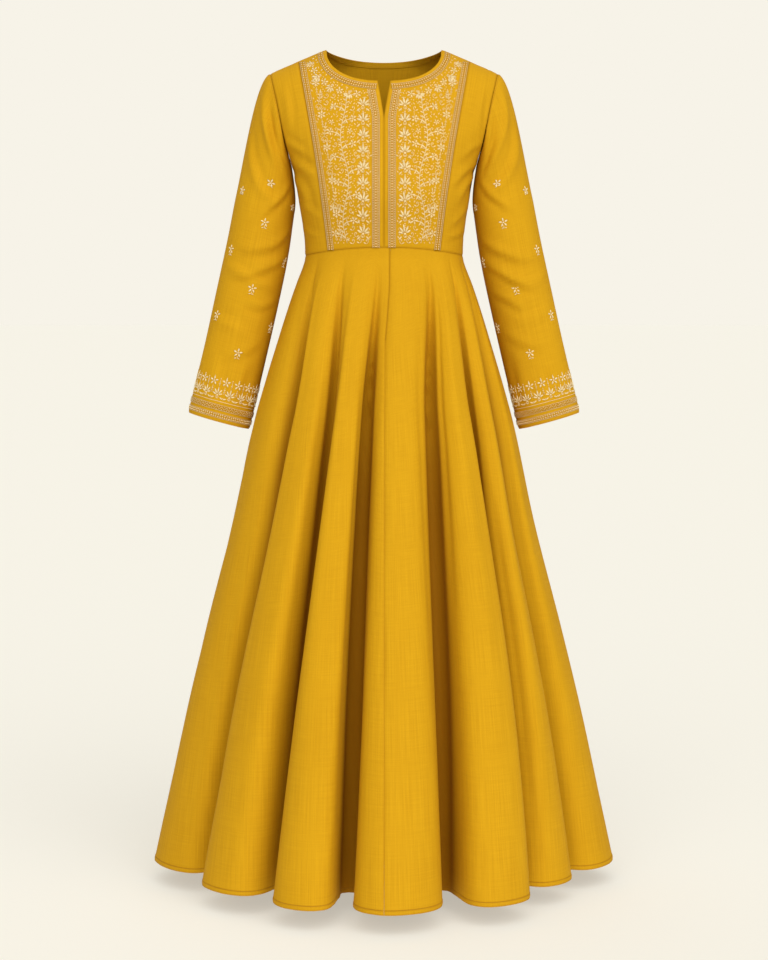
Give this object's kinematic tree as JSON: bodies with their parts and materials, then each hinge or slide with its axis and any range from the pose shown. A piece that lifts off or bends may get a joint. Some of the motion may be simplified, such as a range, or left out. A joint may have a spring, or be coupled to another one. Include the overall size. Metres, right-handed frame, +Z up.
{
  "type": "anarkali gown",
  "caption": "Floor-length flared gown with a fitted bodice, embroidered front yoke, slit round neck and long sleeves.",
  "frame": {"origin": "midway between the neck ends of the two shoulder seams, where the shoulders carry the gown", "axes": "+Z up, the front faces -Y, and the wearer's left side is +X"},
  "size_m": [0.7606, 0.6642, 1.3273],
  "materials": {
    "cloth": "mustard cotton-silk plain weave",
    "thread": "champagne embroidery thread"
  },
  "bodies": {
    "root": {"bodice_back": "cloth", "neck_facing_back": "cloth", "bodice_yoke_left": "cloth", "bodice_side_front_left": "cloth", "tape_placket_left": "thread", "tape_princess_left": "thread", "tape_neck_left": "thread", "sleeve_left": "cloth", "tape_cuff_lower_left": "thread", "tape_cuff_upper_left": "thread", "bodice_yoke_right": "cloth", "bodice_side_front_right": "cloth", "tape_placket_right": "thread", "tape_princess_right": "thread", "tape_neck_right": "thread", "sleeve_right": "cloth", "tape_cuff_lower_right": "thread", "tape_cuff_upper_right": "thread", "skirt_front_left": "cloth", "skirt_back_left": "cloth", "skirt_back_right": "cloth", "skirt_front_right": "cloth"}
  },
  "joints": []
}
